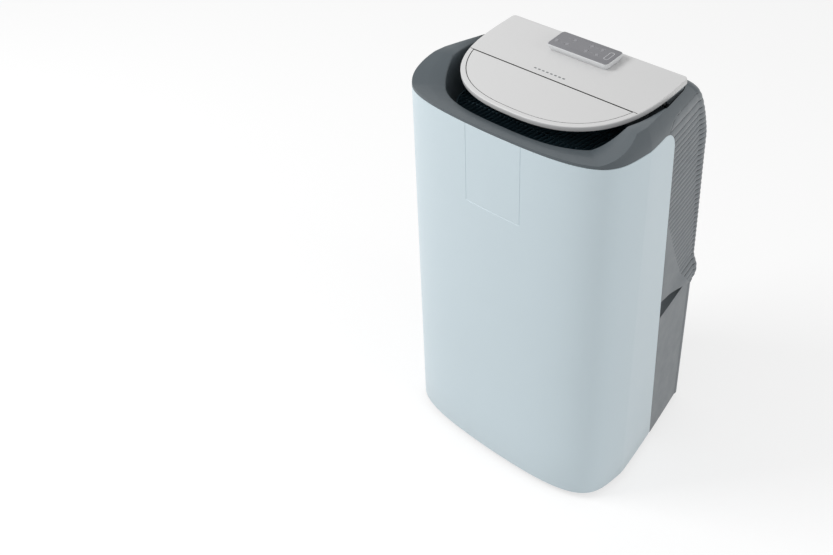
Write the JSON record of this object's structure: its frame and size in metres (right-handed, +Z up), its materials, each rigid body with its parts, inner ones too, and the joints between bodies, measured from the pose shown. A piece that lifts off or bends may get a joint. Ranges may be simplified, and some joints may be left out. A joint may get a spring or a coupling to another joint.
{
  "type": "portable air conditioner",
  "caption": "Free-standing portable air conditioner on castors with a bowed front panel, a ribbed rear hood, a lifting outlet lid and a docked remote control.",
  "frame": {"origin": "on the floor, under the middle of the overall box", "axes": "+Z up, the bowed front faces -Y, +X to the right of someone who looks at the front's back, that is along +Y"},
  "size_m": [0.449, 0.3947, 0.7661],
  "materials": {
    "panel_white": "satin moulded plastic",
    "hood_grey": "fine-grained moulded plastic",
    "deck_grey": "satin moulded plastic",
    "lid_white": "satin moulded plastic",
    "dark_plastic": "matt moulded plastic",
    "inner_plastic": "plain moulded plastic",
    "remote_grey": "satin",
    "remote_white": "satin",
    "button_grey": "soft touch",
    "rubber": "matt rubber",
    "steel": "zinc-plated",
    "black_steel": "black enamel",
    "aluminium": "bare fins",
    "copper": "drawn copper",
    "filter_mesh": "woven mesh",
    "circuit_green": "solder mask"
  },
  "bodies": {
    "body": {"front_panel": "panel_white", "upper_rear_shell": "hood_grey", "lower_rear_shell": "hood_grey", "grip_cup_left": "hood_grey", "grip_cup_right": "hood_grey", "lower_grille": "hood_grey", "top_deck": "deck_grey", "outlet_grille": "dark_plastic", "outlet_duct": "dark_plastic", "exhaust_collar": "dark_plastic", "cord_gland": "dark_plastic", "hinge_bracket_left": "dark_plastic", "hinge_bracket_right": "dark_plastic", "base_pan": "dark_plastic", "mid_bulkhead": "inner_plastic", "condensate_tray": "inner_plastic", "condenser_scroll": "inner_plastic", "blower_scroll": "inner_plastic", "electronics_box": "inner_plastic", "hinge_pin_left": "steel", "hinge_pin_right": "steel", "lid_motor": "steel", "condenser_motor": "steel", "blower_motor": "steel", "compressor": "black_steel", "accumulator": "black_steel", "evaporator_coil": "aluminium", "condenser_coil": "aluminium", "suction_pipe": "copper", "discharge_pipe": "copper", "main_board": "circuit_green"},
    "lid": {"lid_panel": "lid_white", "lid_liner": "dark_plastic", "control_cover": "lid_white", "hinge_arm_left": "deck_grey", "hinge_arm_right": "deck_grey"},
    "remote": {"remote_case": "remote_white", "remote_face": "remote_grey"},
    "battery_cover": {"remote_battery_cover": "remote_white"},
    "intake_grille": {"intake_grille": "hood_grey", "air_filter_frame": "dark_plastic", "air_filter_mesh": "filter_mesh"},
    "drain_plug": {"drain_plug": "rubber"},
    "condenser_fan": {"condenser_fan": "dark_plastic"},
    "blower_wheel": {"blower_wheel": "dark_plastic"},
    "button_power": {"remote_button_power": "button_grey"},
    "button_mode": {"remote_button_mode": "button_grey"},
    "button_fan": {"remote_button_fan": "button_grey"},
    "button_timer": {"remote_button_timer": "button_grey"},
    "button_swing": {"remote_button_swing": "button_grey"},
    "button_down": {"remote_button_down": "button_grey"},
    "button_up": {"remote_button_up": "button_grey"},
    "castor_front_left": {"castor_housing_front_left": "dark_plastic"},
    "wheel_front_left": {"castor_wheel_front_left": "rubber"},
    "castor_front_right": {"castor_housing_front_right": "dark_plastic"},
    "wheel_front_right": {"castor_wheel_front_right": "rubber"},
    "castor_rear_left": {"castor_housing_rear_left": "dark_plastic"},
    "wheel_rear_left": {"castor_wheel_rear_left": "rubber"},
    "castor_rear_right": {"castor_housing_rear_right": "dark_plastic"},
    "wheel_rear_right": {"castor_wheel_rear_right": "rubber"}
  },
  "joints": [
    {"name": "lid_hinge", "type": "hinge", "parent": "body", "child": "lid", "pos_m": [0, 0.058, 0.733], "axis": [-1, 0, 0], "range_deg": [-4.5, 18]},
    {"name": "remote_lift", "type": "slide", "parent": "lid", "child": "remote", "axis": [0, -0.1571, 0.9876], "range_m": [0, 0.06]},
    {"name": "battery_cover_slide", "type": "slide", "parent": "remote", "child": "battery_cover", "axis": [1, 0, 0], "range_m": [0, 0.035]},
    {"name": "intake_grille_pull", "type": "slide", "parent": "body", "child": "intake_grille", "axis": [0, 1, 0], "range_m": [0, 0.08]},
    {"name": "drain_plug_pull", "type": "slide", "parent": "body", "child": "drain_plug", "axis": [0, 1, 0], "range_m": [0, 0.03]},
    {"name": "condenser_fan_spin", "type": "hinge", "parent": "body", "child": "condenser_fan", "pos_m": [0.0725, 0.015, 0.15], "axis": [1, 0, 0], "continuous": true},
    {"name": "blower_spin", "type": "hinge", "parent": "body", "child": "blower_wheel", "pos_m": [0, -0.035, 0.3725], "axis": [1, 0, 0], "continuous": true},
    {"name": "press_power", "type": "slide", "parent": "remote", "child": "button_power", "axis": [0, 0.1571, -0.9876], "range_m": [0, 0.0006], "stiffness_N_per_m": 150},
    {"name": "press_mode", "type": "slide", "parent": "remote", "child": "button_mode", "axis": [0, 0.1571, -0.9876], "range_m": [0, 0.0006], "stiffness_N_per_m": 150},
    {"name": "press_fan", "type": "slide", "parent": "remote", "child": "button_fan", "axis": [0, 0.1571, -0.9876], "range_m": [0, 0.0006], "stiffness_N_per_m": 150},
    {"name": "press_timer", "type": "slide", "parent": "remote", "child": "button_timer", "axis": [0, 0.1571, -0.9876], "range_m": [0, 0.0006], "stiffness_N_per_m": 150},
    {"name": "press_swing", "type": "slide", "parent": "remote", "child": "button_swing", "axis": [0, 0.1571, -0.9876], "range_m": [0, 0.0006], "stiffness_N_per_m": 150},
    {"name": "press_down", "type": "slide", "parent": "remote", "child": "button_down", "axis": [0, 0.1571, -0.9876], "range_m": [0, 0.0006], "stiffness_N_per_m": 150},
    {"name": "press_up", "type": "slide", "parent": "remote", "child": "button_up", "axis": [0, 0.1571, -0.9876], "range_m": [0, 0.0006], "stiffness_N_per_m": 150},
    {"name": "castor_swivel_front_left", "type": "hinge", "parent": "body", "child": "castor_front_left", "pos_m": [-0.15, -0.118, 0.03], "axis": [0, 0, 1], "continuous": true},
    {"name": "wheel_roll_front_left", "type": "hinge", "parent": "castor_front_left", "child": "wheel_front_left", "pos_m": [-0.15, -0.109, 0.016], "axis": [1, 0, 0], "continuous": true},
    {"name": "castor_swivel_front_right", "type": "hinge", "parent": "body", "child": "castor_front_right", "pos_m": [0.15, -0.118, 0.03], "axis": [0, 0, 1], "continuous": true},
    {"name": "wheel_roll_front_right", "type": "hinge", "parent": "castor_front_right", "child": "wheel_front_right", "pos_m": [0.15, -0.109, 0.016], "axis": [1, 0, 0], "continuous": true},
    {"name": "castor_swivel_rear_left", "type": "hinge", "parent": "body", "child": "castor_rear_left", "pos_m": [-0.122, 0.138, 0.03], "axis": [0, 0, 1], "continuous": true},
    {"name": "wheel_roll_rear_left", "type": "hinge", "parent": "castor_rear_left", "child": "wheel_rear_left", "pos_m": [-0.122, 0.147, 0.016], "axis": [1, 0, 0], "continuous": true},
    {"name": "castor_swivel_rear_right", "type": "hinge", "parent": "body", "child": "castor_rear_right", "pos_m": [0.122, 0.138, 0.03], "axis": [0, 0, 1], "continuous": true},
    {"name": "wheel_roll_rear_right", "type": "hinge", "parent": "castor_rear_right", "child": "wheel_rear_right", "pos_m": [0.122, 0.147, 0.016], "axis": [1, 0, 0], "continuous": true}
  ]
}
